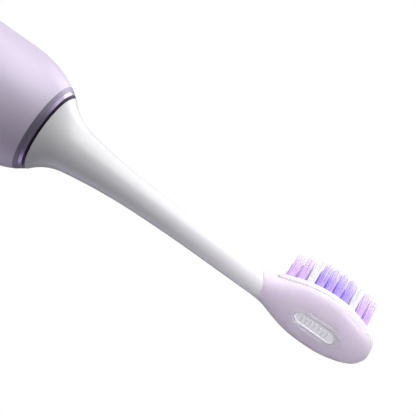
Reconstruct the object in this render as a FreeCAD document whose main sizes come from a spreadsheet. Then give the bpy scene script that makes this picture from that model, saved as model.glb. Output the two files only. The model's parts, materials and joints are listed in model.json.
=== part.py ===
"""Electric toothbrush with a snap-off brush head, standing upright on its base.

Frame: millimetres, +Z up the handle towards the brush head, origin at the middle of the base.
The bristles and the power button face -Y.
"""
import FreeCAD, Part
import os
import re

import Sketcher

# Driving sizes in millimetres. Heights ending in _z are measured from the base.
SIZES = {
    # handle shell and base
    "handle_radius": 12.9,
    "bore_radius": 11.0,
    "seam_z": 6.0,
    "seam_chamfer": 0.15,
    "base_round": 2.4,
    "shoulder_z": 155.6,
    "shoulder_radius": 21.4,
    "collar_z": 166.0,
    "collar_radius": 10.2,
    "throat_radius": 8.3,
    "throat_z": 162.0,
    "throat_taper": 5.5,
    "socket_radius": 5.0,
    "socket_depth": 11.0,
    "socket_chamfer": 0.4,
    "socket_wall": 1.2,
    "cup_floor": 2.4,
    "spigot_radius": 10.9,
    "spigot_wall": 1.9,
    "spigot_top_z": 18.0,
    "socket_roof": 1.4,
    "groove_depth": 1.1,
    "groove_half_height": 0.7,
    "seal_z": 12.7,
    "seal_wire_radius": 0.59,
    # collar, cap and shaft seal
    "collar_height": 0.83,
    "accent_radius": 9.6,
    "accent_height": 0.6,
    "accent_top_radius": 9.2,
    "accent_step": 0.06,
    "ring_bore_radius": 6.6,
    "cap_bottom_z": 160.5,
    "cap_rise": 1.2,
    "cap_bore_radius": 3.0,
    "seal_seat_radius": 4.0,
    "seal_seat_z": 163.2,
    "lip_width": 1.0,
    "lip_drop": 0.4,
    "lip_rise": 0.1,
    # gaps between pieces
    "press_gap": 0.01,
    "fit_gap": 0.02,
    "slide_gap": 0.05,
    "turn_gap": 0.06,
    "overrun": 1.0,
    # frame, board and battery
    "frame_radius": 10.7,
    "frame_inner_radius": 9.7,
    "frame_bottom_z": 22.0,
    "frame_top_z": 124.0,
    "board_back_y": -5.6,
    "board_thickness": 1.0,
    "board_half_width": 7.8,
    "bulkhead_height": 4.0,
    "shelf_height": 3.0,
    "shelf_gap": 1.0,
    "cap_shelf_gap": 3.0,
    "screw_inset": 2.0,
    "screw_side_inset": 2.3,
    "screw_clearance": 0.1,
    "screw_radius": 0.8,
    "screw_length": 4.0,
    "screw_head_radius": 1.4,
    "screw_head_height": 0.8,
    "battery_radius": 7.0,
    "battery_bottom_z": 36.0,
    "battery_length": 49.0,
    "battery_shift_y": 2.6,
    "cell_edge": 0.4,
    "terminal_radius": 2.6,
    "terminal_height": 1.0,
    "tab_half_width": 2.5,
    "tab_back_y": 5.0,
    "tab_thickness": 0.3,
    "wire_radius": 0.4,
    # electronics on the board
    "controller_half_width": 3.0,
    "controller_height": 1.0,
    "controller_z": 59.0,
    "charger_half_width": 2.0,
    "charger_height": 0.9,
    "charger_z": 34.0,
    "capacitor_half_width": 1.0,
    "capacitor_height": 1.1,
    "capacitor_length": 3.0,
    "capacitor_across": 4.6,
    "capacitor_first_z": 43.0,
    "capacitor_pitch": 4.0,
    "light_half_width": 0.8,
    "light_height": 0.6,
    "light_half_length": 0.5,
    # charging coil
    "coil_inner_radius": 6.3,
    "coil_outer_radius": 7.7,
    "ferrite_outer_radius": 8.8,
    "coil_bottom_z": 2.9,
    "coil_height": 7.1,
    "ferrite_gap": 0.1,
    "coil_lead_spread": 2.2,
    "coil_lead_overlap": 2.6,
    # power button
    "button_z": 112.0,
    "button_width": 7.6,
    "button_length": 13.6,
    "button_gap": 0.25,
    "button_recess": 0.2,
    "button_back_y": -8.8,
    "flange_thickness": 0.8,
    "flange_margin": 1.0,
    "membrane_thickness": 0.6,
    "membrane_width": 11.0,
    "membrane_length": 16.8,
    "membrane_hole_radius": 1.5,
    "membrane_gap": 0.1,
    "nub_radius": 1.2,
    "nub_length": 1.0,
    "nub_setback": 0.45,
    "switch_half_width": 2.5,
    "switch_height": 1.3,
    "switch_well_depth": 1.1,
    "plunger_depth": 0.6,
    "plunger_radius": 0.93,
    "plunger_clearance": 0.07,
    "surround_half_width": 5.6,
    "surround_half_length": 8.5,
    "surround_hole_half_width": 3.2,
    "surround_hole_half_length": 3.4,
    # indicator lights
    "window_radius": 0.9,
    "window_pitch": 6.0,
    "window_first_z": 78.0,
    "guide_front_y": -8.6,
    "guide_back_y": -7.3,
    "guide_half_width": 1.6,
    "guide_end": 2.5,
    "guide_pin_gap": 0.04,
    "guide_setback": 0.1,
    # motor
    "motor_bottom_z": 126.0,
    "motor_top_z": 152.0,
    "can_radius": 8.8,
    "can_inner_radius": 8.0,
    "motor_plate": 2.5,
    "nose_radius": 6.0,
    "nose_top_z": 158.0,
    "bearing_radius": 3.0,
    "nose_bearing_radius": 3.4,
    "nose_edge": 0.5,
    "lower_bush_height": 3.0,
    "upper_bush_drop": 2.0,
    "stator_bottom_z": 133.0,
    "stator_height": 13.0,
    "stator_inner_radius": 6.6,
    "pole_radius": 4.3,
    "pole_width": 2.6,
    "pole_overlap": 0.3,
    "winding_width": 5.0,
    "winding_depth": 1.4,
    "winding_gap": 0.3,
    "winding_overhang": 1.6,
    "rotor_core_radius": 3.0,
    "rotor_radius": 4.0,
    "rotor_overhang": 1.0,
    "magnet_gap_half": 0.25,
    "damper_height": 3.0,
    "damper_inset": 3.0,
    "motor_lead_spread": 3.0,
    "motor_lead_overlap": 3.0,
    # drive shaft
    "shaft_radius": 1.9,
    "shaft_bottom_z": 126.2,
    "shaft_top_z": 187.3,
    "shaft_chamfer": 0.35,
    "shaft_flat_y": -1.3,
    "shaft_flat_z": 175.0,
    "retainer_z": 158.5,
    "retainer_height": 0.6,
    "retainer_groove_radius": 1.5,
    "retainer_width": 0.9,
    "retainer_half_opening": 1.1,
    # white neck of the brush head
    "neck_base_z": 167.9,
    "neck_base_radius": 8.8,
    "neck_edge": 0.15,
    "flare_arc_radius": 11.3,
    "flare_top_z": 174.38,
    "flare_top_radius": 5.14,
    "taper_arc_radius": 126.7,
    "taper_top_z": 190.85,
    "taper_top_radius": 3.27,
    "slim_arc_radius": 376.0,
    "stem_z": 207.26,
    "stem_radius": 2.9,
    "neck_wall": 1.3,
    "neck_bore_radius": 2.62,
    "neck_bore_z": 182.0,
    "neck_bore_top_z": 189.5,
    "joint_z": 219.6,
    "joint_slope": 0.75,
    "joint_overlap": 9.0,
    "wedge_reach": 12.0,
    "wedge_width": 40.0,
    # sleeve and clip that hold the shaft in the neck
    "sleeve_radius": 2.6,
    "sleeve_bottom_z": 170.2,
    "sleeve_top_z": 188.6,
    "sleeve_gap": 0.07,
    "sleeve_entry_rise": 0.1,
    "insert_bottom_z": 168.6,
    "insert_flange_radius": 5.7,
    "insert_flange_height": 1.0,
    "insert_radius": 3.4,
    "insert_height": 5.2,
    "clip_gap": 0.08,
    "clip_rise": 0.1,
    "clip_height": 1.2,
    "clip_half_opening": 0.9,
    # paddle of the brush head
    "paddle_half_width": 6.7,
    "paddle_wide_z": 235.0,
    "paddle_flare_radius": 15.9,
    "lower_flank_radius": 21.4,
    "upper_flank_radius": 19.85,
    "tip_radius": 5.0,
    "paddle_depth": 2.4,
    "paddle_shift_y": -0.8,
    "dome_fall_z": 239.3,
    "dome_overrun": 0.1,
    "stem_overlap_low": 9.0,
    "stem_overlap_high": 5.0,
    "plate_seat_y": -1.2,
    "plate_front_y": -2.8,
    "plate_start_z": 222.8,
    "plate_edge_round": 0.45,
    # badge
    "badge_z": 234.8,
    "badge_width": 3.05,
    "badge_length": 9.7,
    "badge_thickness": 0.3,
    "badge_face_y": 1.5,
    "pedestal_step": 0.3,
    "pedestal_base_y": -0.1,
    # tufts
    "row_first_z": 225.1,
    "row_pitch": 1.95,
    "tuft_radius": 0.8,
    "tuft_inset": 1.5,
    "hole_clearance": 0.02,
    "hole_bottom_y": -0.6,
    "anchor_half_width": 0.65,
    "anchor_half_thickness": 0.15,
    "anchor_height": 0.8,
    "tuft_tip_y": -12.3,
    "tuft_tip_rise": 0.5,
}

ROW_COUNTS = (3, 4, 5, 6, 5, 6, 5, 6, 5, 4)
TUFT_BANDS = {
    "bristles_heel": (0, 1),
    "bristles_white": (2, 7),
    "bristles_middle": (3, 4, 5, 6),
    "bristles_toe": (8, 9),
}
FAR = "60"

doc = FreeCAD.newDocument("toothbrush")
sheet = doc.addObject("Spreadsheet::Sheet", "Sizes")
for row, (alias, size) in enumerate(SIZES.items(), start=1):
    sheet.set(f"A{row}", alias)
    sheet.set(f"B{row}", str(size))
    sheet.setAlias(f"B{row}", alias)
doc.recompute()
subparts = []


# ---------------------------------------------------------------- helpers


def bound(expression):
    """The expression with every sheet alias written as a reference to the sheet."""
    return re.sub(r"[a-z_]+", lambda word: f"Sizes.{word[0]}" if word[0] in SIZES else word[0], expression)


def value(expression):
    """The number that an expression has now."""
    return float(sheet.evalExpression(bound(expression)))


def bind(piece, **expressions):
    """Bind properties to expressions; x, y and z stand for the placement's base."""
    for key, expression in expressions.items():
        path = f".Placement.Base.{key}" if key in ("x", "y", "z") else key
        piece.setExpression(path, bound(expression))
    return piece


def subpart(piece, label):
    """Name a piece as one of the toothbrush's sub-parts."""
    piece.Label = label
    subparts.append(piece)
    return piece


def cylinder(name, radius, bottom, height, x="0", y="0"):
    """An upright cylinder."""
    piece = doc.addObject("Part::Cylinder", name)
    return bind(piece, Radius=radius, Height=height, x=x, y=y, z=bottom)


def rod(name, radius, back, length, x, z):
    """A cylinder that runs from y = back towards -Y."""
    piece = doc.addObject("Part::Cylinder", name)
    piece.Placement.Rotation = FreeCAD.Rotation(FreeCAD.Vector(1, 0, 0), 90)
    return bind(piece, Radius=radius, Height=length, x=x, y=back, z=z)


def box(name, half_width, back, depth, bottom, height, x="0"):
    """A box centred on x that runs from y = back towards -Y."""
    piece = doc.addObject("Part::Box", name)
    bind(piece, Length=f"2 * ({half_width})", Width=depth, Height=height)
    return bind(piece, x=f"{x} - ({half_width})", y=f"{back} - ({depth})", z=bottom)


def fused(name, *pieces):
    """One solid from several pieces."""
    piece = doc.addObject("Part::MultiFuse", name)
    piece.Shapes = list(pieces)
    return piece


def grouped(name, *pieces):
    """Separate solids that share one node."""
    piece = doc.addObject("Part::Compound", name)
    piece.Links = list(pieces)
    return piece


def cut(name, base, *tools):
    """The base with every tool taken away."""
    piece = doc.addObject("Part::Cut", name)
    piece.Base = base
    piece.Tool = tools[0] if len(tools) == 1 else grouped(f"{name}_tools", *tools)
    return piece


def common(name, first, second):
    """What two pieces share."""
    piece = doc.addObject("Part::MultiCommon", name)
    piece.Shapes = [first, second]
    return piece


def tube(name, inner, outer, bottom, height):
    """An upright tube."""
    bore = cylinder(f"{name}_bore", inner, bottom, height)
    return cut(name, cylinder(f"{name}_wall", outer, bottom, height), bore)


def stadium(name, width, length, back, depth, z):
    """A round-ended bar along Z that runs from y = back towards -Y."""
    half = f"({width}) / 2"
    reach = f"(({length}) - ({width})) / 2"
    middle = box(f"{name}_middle", half, back, depth, f"{z} - {reach}", f"2 * {reach}")
    lower = rod(f"{name}_lower", half, back, depth, "0", f"{z} - {reach}")
    upper = rod(f"{name}_upper", half, back, depth, "0", f"{z} + {reach}")
    piece = fused(name, middle, lower, upper)
    piece.Refine = True
    return piece


def origin_plane(body, role):
    """One of the body's own origin planes."""
    return next(plane for plane in body.Origin.OriginFeatures if plane.Role == role)


def arc_through(start, end, radius, side):
    """The arc from start to end whose centre is left (side 1) or right (side -1) of the way."""
    chord = end - start
    middle = (start + end) * 0.5
    left = FreeCAD.Vector(-chord.y, chord.x, 0).normalize() * side
    centre = middle + left * (radius ** 2 - (chord.Length / 2) ** 2) ** 0.5
    bulge = centre - left * radius
    return Part.Arc(start, bulge, end)


def outline_sketch(body, plane, corners):
    """A closed sketch through (across, up) corners given as expressions.

    A corner with two more items, (radius, side), starts an arc that ends at the next corner.
    """
    sketch = body.newObject("Sketcher::SketchObject", f"{body.Name}_outline")
    sketch.AttachmentSupport = [(origin_plane(body, plane), "")]
    sketch.MapMode = "FlatFace"
    points = [FreeCAD.Vector(value(corner[0]), value(corner[1]), 0) for corner in corners]
    starts = []
    ends = []
    for index, corner in enumerate(corners):
        start = points[index]
        end = points[(index + 1) % len(points)]
        if len(corner) == 2:
            edge = sketch.addGeometry(Part.LineSegment(start, end))
            first = 1
        else:
            edge = sketch.addGeometry(arc_through(start, end, value(corner[2]), corner[3]))
            first = 1 if sketch.getPoint(edge, 1).distanceToPoint(start) < 1e-6 else 2
            radius = sketch.addConstraint(Sketcher.Constraint("Radius", edge, value(corner[2])))
            sketch.setExpression(f"Constraints[{radius}]", bound(corner[2]))
        starts.append((edge, first))
        ends.append((edge, 3 - first))
    for index, corner in enumerate(corners):
        sketch.addConstraint(Sketcher.Constraint("Coincident", *ends[index - 1], *starts[index]))
        for kind, expression, axis in (("DistanceX", corner[0], -2), ("DistanceY", corner[1], -1)):
            if value(expression) == 0:
                sketch.addConstraint(Sketcher.Constraint("PointOnObject", *starts[index], axis))
                continue
            datum = Sketcher.Constraint(kind, -1, 1, *starts[index], value(expression))
            number = sketch.addConstraint(datum)
            sketch.setExpression(f"Constraints[{number}]", bound(expression))
    return sketch


def turned(name, corners):
    """A body revolved about Z from an outline of (radius, height) corners."""
    body = doc.addObject("PartDesign::Body", name)
    sketch = outline_sketch(body, "XZ_Plane", corners)
    revolution = body.newObject("PartDesign::Revolution", f"{name}_revolution")
    revolution.Profile = sketch
    revolution.ReferenceAxis = (sketch, ["V_Axis"])
    revolution.Angle = 360
    return body


def padded(name, plane, corners, length, start="0", midplane=False):
    """A body padded from an outline that stands off one of its origin planes by start."""
    body = doc.addObject("PartDesign::Body", name)
    sketch = outline_sketch(body, plane, corners)
    sketch.setExpression(".AttachmentOffset.Base.z", bound(start))
    pad = body.newObject("PartDesign::Pad", f"{name}_pad")
    pad.Profile = sketch
    pad.Midplane = midplane
    bind(pad, Length=length)
    return body


# ---------------------------------------------------------------- handle casing


def handle_shell():
    """One-piece tube with a domed shoulder, a button opening and four light windows."""
    wall = turned(
        "handle_wall",
        [
            ("bore_radius", "seam_z"),
            ("handle_radius - seam_chamfer", "seam_z"),
            ("handle_radius", "seam_z + seam_chamfer"),
            ("handle_radius", "shoulder_z", "shoulder_radius", 1),
            ("collar_radius", "collar_z"),
            ("throat_radius", "collar_z"),
            ("throat_radius", "throat_z"),
            ("bore_radius", "throat_z - throat_taper"),
        ],
    )
    width = "button_width + 2 * button_gap"
    length = "button_length + 2 * button_gap"
    opening = stadium("button_opening", width, length, "0", FAR, "button_z")
    windows = [
        rod(f"window_{index}", "window_radius", "0", FAR, "0", window_height(index)) for index in range(4)
    ]
    return subpart(cut("handle_cut", wall, opening, *windows), "handle_shell")


def window_height(index):
    """Height of one of the four indicator windows."""
    return f"window_first_z + {index} * window_pitch"


def base_cap():
    """Bottom cover with the charger socket and a spigot that plugs the shell."""
    groove = "spigot_radius - groove_depth"
    cup = "spigot_radius - spigot_wall"
    socket_outside = "socket_radius + socket_wall"
    socket_top = "socket_depth + socket_roof"
    corners = [
        ("socket_radius + socket_chamfer", "0"),
        ("handle_radius - base_round", "0", "base_round", 1),
        ("handle_radius", "base_round"),
        ("handle_radius", "seam_z - seam_chamfer"),
        ("handle_radius - seam_chamfer", "seam_z"),
        ("spigot_radius", "seam_z"),
        ("spigot_radius", "seal_z - groove_half_height"),
        (groove, "seal_z - groove_half_height"),
        (groove, "seal_z + groove_half_height"),
        ("spigot_radius", "seal_z + groove_half_height"),
        ("spigot_radius", "spigot_top_z"),
        (cup, "spigot_top_z"),
        (cup, "cup_floor"),
        (socket_outside, "cup_floor"),
        (socket_outside, socket_top),
        ("0", socket_top),
        ("0", "socket_depth"),
        ("socket_radius", "socket_depth"),
        ("socket_radius", "socket_chamfer"),
    ]
    return subpart(turned("base_turning", corners), "base_cap")


def base_seal():
    """O-ring in the base cap's groove."""
    ring = doc.addObject("Part::Torus", "base_o_ring")
    middle = "bore_radius - seal_wire_radius - press_gap"
    bind(ring, Radius1=middle, Radius2="seal_wire_radius", z="seal_z")
    return subpart(ring, "base_seal")


def collar_rings():
    """The two metal bands above the shoulder."""
    lower = turned(
        "collar_turning",
        [
            ("ring_bore_radius", "collar_z"),
            ("collar_radius", "collar_z"),
            ("accent_radius", "collar_z + collar_height"),
            ("ring_bore_radius", "collar_z + collar_height"),
        ],
    )
    upper = turned(
        "accent_turning",
        [
            ("ring_bore_radius", "collar_z + collar_height"),
            ("accent_radius - accent_step", "collar_z + collar_height"),
            ("accent_top_radius", "collar_z + collar_height + accent_height"),
            ("ring_bore_radius", "collar_z + collar_height + accent_height"),
        ],
    )
    subpart(lower, "collar_ring")
    subpart(upper, "accent_ring")


def top_cap():
    """Plug in the throat that carries the shaft seal."""
    corners = [
        ("cap_bore_radius", "cap_bottom_z"),
        ("throat_radius - slide_gap", "cap_bottom_z"),
        ("throat_radius - slide_gap", "collar_z"),
        ("ring_bore_radius - slide_gap", "collar_z"),
        ("ring_bore_radius - slide_gap", "collar_z + cap_rise"),
        ("seal_seat_radius", "collar_z + cap_rise"),
        ("seal_seat_radius", "seal_seat_z"),
        ("cap_bore_radius", "seal_seat_z"),
    ]
    return subpart(turned("cap_turning", corners), "top_cap")


def shaft_seal():
    """Rubber seal round the shaft with a raised lip."""
    lip = "shaft_radius + turn_gap"
    corners = [
        (lip, "seal_seat_z"),
        ("seal_seat_radius - fit_gap", "seal_seat_z"),
        ("seal_seat_radius - fit_gap", "collar_z + cap_rise - lip_drop"),
        ("shaft_radius + lip_width", "collar_z + cap_rise - lip_rise"),
        (lip, "collar_z + cap_rise + lip_rise"),
    ]
    return subpart(turned("seal_turning", corners), "shaft_seal")


# ---------------------------------------------------------------- handle internals


def charging_coil():
    """Coil and ferrite sleeve round the charger socket, with two straight leads."""
    coil = tube("coil_winding", "coil_inner_radius", "coil_outer_radius", "coil_bottom_z", "coil_height")
    ferrite_bore = "coil_outer_radius + ferrite_gap"
    sleeve = tube("ferrite_tube", ferrite_bore, "ferrite_outer_radius", "coil_bottom_z", "coil_height")
    top = "coil_bottom_z + coil_height"
    subpart(coil, "charge_coil")
    subpart(sleeve, "ferrite_sleeve")
    reach = f"frame_bottom_z + coil_lead_overlap - ({top})"
    subpart(leads("coil_wire", "coil_lead_spread", top, reach), "coil_leads")


def leads(name, spread, bottom, length):
    """Two straight wires that lie on the front of the circuit board."""
    lane = "board_back_y - board_thickness - wire_radius"
    left = cylinder(f"{name}_left", "wire_radius", bottom, length, f"-{spread}", lane)
    right = cylinder(f"{name}_right", "wire_radius", bottom, length, spread, lane)
    return grouped(name, left, right)


CAP_SHELF_Z = "battery_bottom_z + battery_length + cap_shelf_gap"


def screw_places():
    """Across and height of the screws that hold the circuit board to the frame's bulkheads."""
    return (
        ("0", "frame_bottom_z + screw_inset"),
        ("board_half_width - screw_side_inset", f"{CAP_SHELF_Z} + screw_inset"),
        ("0", "frame_top_z - screw_inset"),
    )


def inner_frame():
    """Open-fronted tray with four bulkheads that carries the battery and the board."""
    spine = tube("frame_tube", "frame_inner_radius", "frame_radius", "frame_bottom_z",
                 "frame_top_z - frame_bottom_z")
    bulkheads = [
        cylinder(f"bulkhead_{index}", "(frame_inner_radius + frame_radius) / 2", bottom, height)
        for index, (bottom, height) in enumerate(
            [
                ("frame_bottom_z", "bulkhead_height"),
                ("battery_bottom_z - shelf_gap - shelf_height", "shelf_height"),
                (CAP_SHELF_Z, "bulkhead_height"),
                ("frame_top_z - bulkhead_height", "bulkhead_height"),
            ]
        )
    ]
    front = box("frame_front", FAR, "board_back_y", FAR, "0", "frame_top_z + overrun")
    holes = [
        rod(f"frame_hole_{index}", "screw_radius", "board_back_y + screw_length", "screw_length", x, z)
        for index, (x, z) in enumerate(screw_places())
    ]
    return subpart(cut("frame_cut", fused("frame_blank", spine, *bulkheads), front, *holes), "inner_frame")


def board_screws():
    """Three identical pan-head screws."""
    face = "board_back_y - board_thickness"
    screws = []
    for index, (x, z) in enumerate(screw_places()):
        shank_length = "screw_length + board_thickness"
        shank = rod(f"shank_{index}", "screw_radius", "board_back_y + screw_length", shank_length, x, z)
        head = rod(f"screw_head_{index}", "screw_head_radius", face, "screw_head_height", x, z)
        screws.append(fused(f"screw_{index}", shank, head))
    return subpart(grouped("screw_set", *screws), "board_screws")


def circuit_board():
    """Board on the front of the frame, with clearance holes for its screws."""
    blank = box("board_blank", "board_half_width", "board_back_y", "board_thickness",
                "frame_bottom_z", "frame_top_z - frame_bottom_z")
    radius = "screw_radius + screw_clearance"
    holes = [
        rod(f"board_hole_{index}", radius, "board_back_y + overrun", "board_thickness + 2 * overrun", x, z)
        for index, (x, z) in enumerate(screw_places())
    ]
    return subpart(cut("board_cut", blank, *holes), "circuit_board")


def board_parts():
    """Chips, capacitors and indicator lights soldered to the board's front."""
    face = "board_back_y - board_thickness"
    for chip in ("controller", "charger"):
        half = f"{chip}_half_width"
        block = box(f"{chip}_block", half, face, f"{chip}_height", f"{chip}_z", f"2 * {half}")
        subpart(block, f"{chip}_chip")
    capacitors = [
        box(
            f"capacitor_{index}",
            "capacitor_half_width",
            face,
            "capacitor_height",
            f"capacitor_first_z + {index} * capacitor_pitch",
            "capacitor_length",
            x="capacitor_across",
        )
        for index in range(3)
    ]
    subpart(grouped("capacitor_set", *capacitors), "board_capacitors")
    lights = [
        box(
            f"light_{index}",
            "light_half_width",
            face,
            "light_height",
            f"{window_height(index)} - light_half_length",
            "2 * light_half_length",
        )
        for index in range(4)
    ]
    subpart(grouped("light_set", *lights), "indicator_leds")


def light_guide():
    """Clear bar whose four pins carry the indicator light through the shell."""
    bar = box(
        "guide_bar",
        "guide_half_width",
        "guide_back_y",
        "guide_back_y - guide_front_y",
        "window_first_z - guide_end",
        "3 * window_pitch + 2 * guide_end",
    )
    radius = "window_radius - guide_pin_gap"
    reach = "handle_radius + guide_front_y - guide_setback"
    pins = [
        rod(f"guide_pin_{index}", radius, "guide_front_y", reach, "0", window_height(index))
        for index in range(4)
    ]
    return subpart(fused("guide_set", bar, *pins), "light_guide")


def battery():
    """Cylindrical cell with a raised terminal, and the two tabs that join it to the board."""
    top = "battery_bottom_z + battery_length"
    cell = turned(
        "cell_turning",
        [
            ("0", "battery_bottom_z"),
            ("battery_radius - cell_edge", "battery_bottom_z"),
            ("battery_radius", "battery_bottom_z + cell_edge"),
            ("battery_radius", f"{top} - cell_edge"),
            ("battery_radius - cell_edge", top),
            ("terminal_radius", top),
            ("terminal_radius", f"{top} + terminal_height"),
            ("0", f"{top} + terminal_height"),
        ],
    )
    subpart(bind(cell, y="battery_shift_y"), "battery_cell")
    tabs = [
        box(name, "tab_half_width", "tab_back_y", "tab_back_y - board_back_y", bottom, "tab_thickness")
        for name, bottom in (
            ("tab_lower", "battery_bottom_z - tab_thickness"),
            ("tab_upper", f"{top} + terminal_height"),
        )
    ]
    subpart(grouped("tab_set", *tabs), "battery_tabs")


# ---------------------------------------------------------------- power button


NUB_TIP = "button_back_y + nub_setback"


def power_button():
    """Oval button that follows the handle's curve, with a flange behind the wall and a nub."""
    prism = stadium("button_prism", "button_width", "button_length", "button_back_y - flange_thickness",
                    FAR, "button_z")
    curve = cylinder("button_curve", "handle_radius - button_recess", "0", "frame_top_z")
    face = common("button_face", prism, curve)
    flange = stadium("button_flange", "button_width + 2 * flange_margin",
                     "button_length + 2 * flange_margin", "button_back_y", "flange_thickness", "button_z")
    nub = rod("button_nub", "nub_radius", NUB_TIP, "nub_length", "0", "button_z")
    return subpart(fused("button_fuse", face, flange, nub), "power_button")


def switch_parts():
    """Push switch, its plunger, the frame round it and the rubber membrane in front."""
    face = "board_back_y - board_thickness"
    front = f"{face} - switch_height"
    bore = "plunger_radius + plunger_clearance"
    half = "switch_half_width"
    block = box("switch_block", half, face, "switch_height", f"button_z - {half}", f"2 * {half}")
    well = rod("switch_well", bore, f"{front} + switch_well_depth", "switch_height", "0", "button_z")
    subpart(cut("switch_cut", block, well), "tact_switch")

    plunger_back = f"{front} + plunger_depth"
    length = f"{plunger_back} - ({NUB_TIP})"
    subpart(rod("plunger_rod", "plunger_radius", plunger_back, length, "0", "button_z"), "switch_plunger")

    frame_front = "button_back_y + membrane_gap + membrane_thickness"
    outer = box("surround_block", "surround_half_width", face, f"{face} - ({frame_front})",
                "button_z - surround_half_length", "2 * surround_half_length")
    inner = box("surround_hole", "surround_hole_half_width", face, FAR,
                "button_z - surround_hole_half_length", "2 * surround_hole_half_length")
    subpart(cut("surround_cut", outer, inner), "switch_frame")

    skin = stadium("membrane_skin", "membrane_width", "membrane_length", frame_front,
                   "membrane_thickness", "button_z")
    hole = rod("membrane_hole", "membrane_hole_radius", "0", FAR, "0", "button_z")
    subpart(cut("membrane_cut", skin, hole), "button_membrane")


# ---------------------------------------------------------------- motor and shaft


def motor_housing():
    """Steel can closed by an end cap and a nose plate, held by two rubber rings."""
    can = tube("can_tube", "can_inner_radius", "can_radius", "motor_bottom_z",
               "motor_top_z - motor_bottom_z")
    plate_radius = "can_inner_radius - slide_gap"
    end_cap = tube("end_plate", "bearing_radius + fit_gap", plate_radius, "motor_bottom_z", "motor_plate")
    nose = turned(
        "nose_turning",
        [
            ("nose_bearing_radius + fit_gap", "motor_top_z - motor_plate"),
            (plate_radius, "motor_top_z - motor_plate"),
            (plate_radius, "motor_top_z"),
            ("nose_radius", "motor_top_z"),
            ("nose_radius", "nose_top_z - nose_edge"),
            ("nose_radius - nose_edge", "nose_top_z"),
            ("nose_bearing_radius + fit_gap", "nose_top_z"),
        ],
    )
    subpart(can, "motor_can")
    subpart(end_cap, "motor_end_cap")
    subpart(nose, "motor_nose")
    shaft_bore = "shaft_radius + slide_gap"
    lower_bush = tube("lower_bush", shaft_bore, "bearing_radius", "motor_bottom_z", "lower_bush_height")
    subpart(lower_bush, "lower_bearing")
    bush_bottom = "motor_top_z - upper_bush_drop"
    upper_bush = tube("upper_bush", shaft_bore, "nose_bearing_radius", bush_bottom,
                      f"nose_top_z - ({bush_bottom})")
    subpart(upper_bush, "upper_bearing")
    ring_bottoms = ("motor_bottom_z + damper_inset", "motor_top_z - damper_inset - damper_height")
    rings = [
        tube(f"damper_{index}", "can_radius", "bore_radius - slide_gap", bottom, "damper_height")
        for index, bottom in enumerate(ring_bottoms)
    ]
    subpart(grouped("damper_set", *rings), "motor_dampers")
    lead_bottom = "frame_top_z - motor_lead_overlap"
    wires = leads("motor_wire", "motor_lead_spread", lead_bottom, f"motor_bottom_z - ({lead_bottom})")
    subpart(wires, "motor_leads")


def cross(name, half_width, reach, bottom, height):
    """Two bars that cross at right angles on the axis."""
    along_y = box(f"{name}_along_y", half_width, reach, f"2 * ({reach})", bottom, height)
    along_x = box(f"{name}_along_x", reach, half_width, f"2 * ({half_width})", bottom, height)
    return fused(name, along_y, along_x)


def stator():
    """Laminated ring with four inward poles, and the four windings on them."""
    poles = cross("stator_poles", "pole_width / 2", "stator_inner_radius + pole_overlap",
                  "stator_bottom_z", "stator_height")
    ring = tube("stator_ring", "stator_inner_radius", "can_inner_radius - slide_gap", "stator_bottom_z",
                "stator_height")
    bore = cylinder("stator_bore", "pole_radius", "stator_bottom_z - overrun",
                    "stator_height + 2 * overrun")
    subpart(cut("stator_cut", fused("stator_blank", ring, poles), bore), "stator_core")

    bottom = "stator_bottom_z - winding_overhang"
    height = "stator_height + 2 * winding_overhang"
    inner = "pole_radius + winding_gap"
    depth = "winding_depth"
    half = "winding_width / 2"
    middle = f"{inner} + {depth} / 2"
    blocks = [
        box("winding_right", f"{depth} / 2", half, "winding_width", bottom, height, x=middle),
        box("winding_left", f"{depth} / 2", half, "winding_width", bottom, height, x=f"-({middle})"),
        box("winding_back", half, f"{inner} + {depth}", depth, bottom, height),
        box("winding_front", half, f"-({inner})", depth, bottom, height),
    ]
    subpart(cut("winding_cut", grouped("winding_blocks", *blocks), poles), "stator_windings")


def rotor():
    """Steel sleeve on the shaft with four magnet segments."""
    bottom = "stator_bottom_z - rotor_overhang"
    height = "stator_height + 2 * rotor_overhang"
    subpart(tube("rotor_sleeve", "shaft_radius", "rotor_core_radius", bottom, height), "rotor_core")
    ring = tube("magnet_ring", "rotor_core_radius", "rotor_radius", bottom, height)
    gaps = cross("magnet_gaps", "magnet_gap_half", "rotor_radius + overrun", bottom, height)
    gaps.Placement.Rotation = FreeCAD.Rotation(FreeCAD.Vector(0, 0, 1), 45)
    subpart(cut("magnet_cut", ring, gaps), "rotor_magnets")


def drive_shaft():
    """Steel shaft with a flat near its tip and a groove for the retaining clip."""
    corners = [
        ("0", "shaft_bottom_z"),
        ("shaft_radius", "shaft_bottom_z"),
        ("shaft_radius", "retainer_z"),
        ("retainer_groove_radius", "retainer_z"),
        ("retainer_groove_radius", "retainer_z + retainer_height"),
        ("shaft_radius", "retainer_z + retainer_height"),
        ("shaft_radius", "shaft_top_z - shaft_chamfer"),
        ("shaft_radius - shaft_chamfer", "shaft_top_z"),
        ("0", "shaft_top_z"),
    ]
    flat = box("shaft_flat", FAR, "shaft_flat_y", FAR, "shaft_flat_z", FAR)
    subpart(cut("shaft_cut", turned("shaft_turning", corners), flat), "drive_shaft")
    ring = tube("retainer_ring", "retainer_groove_radius", "shaft_radius + retainer_width", "retainer_z",
                "retainer_height")
    opening = box("retainer_opening", "retainer_half_opening", "0", FAR, "retainer_z - overrun",
                  "retainer_height + 2 * overrun")
    subpart(cut("retainer_cut", ring, opening), "shaft_retainer")


# ---------------------------------------------------------------- brush head neck


def joint_wedge(name, above):
    """Everything above or below the slanted joint between the neck and the paddle shell."""
    level = f"joint_z + {FAR}" if above else "joint_z - joint_overlap - wedge_reach"
    corners = [
        ("-wedge_reach", "joint_z - wedge_reach * joint_slope"),
        ("wedge_reach", "joint_z + wedge_reach * joint_slope"),
        ("wedge_reach", level),
        ("-wedge_reach", level),
    ]
    return padded(name, "YZ_Plane", corners if above else corners[::-1], "wedge_width", midplane=True)


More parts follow.
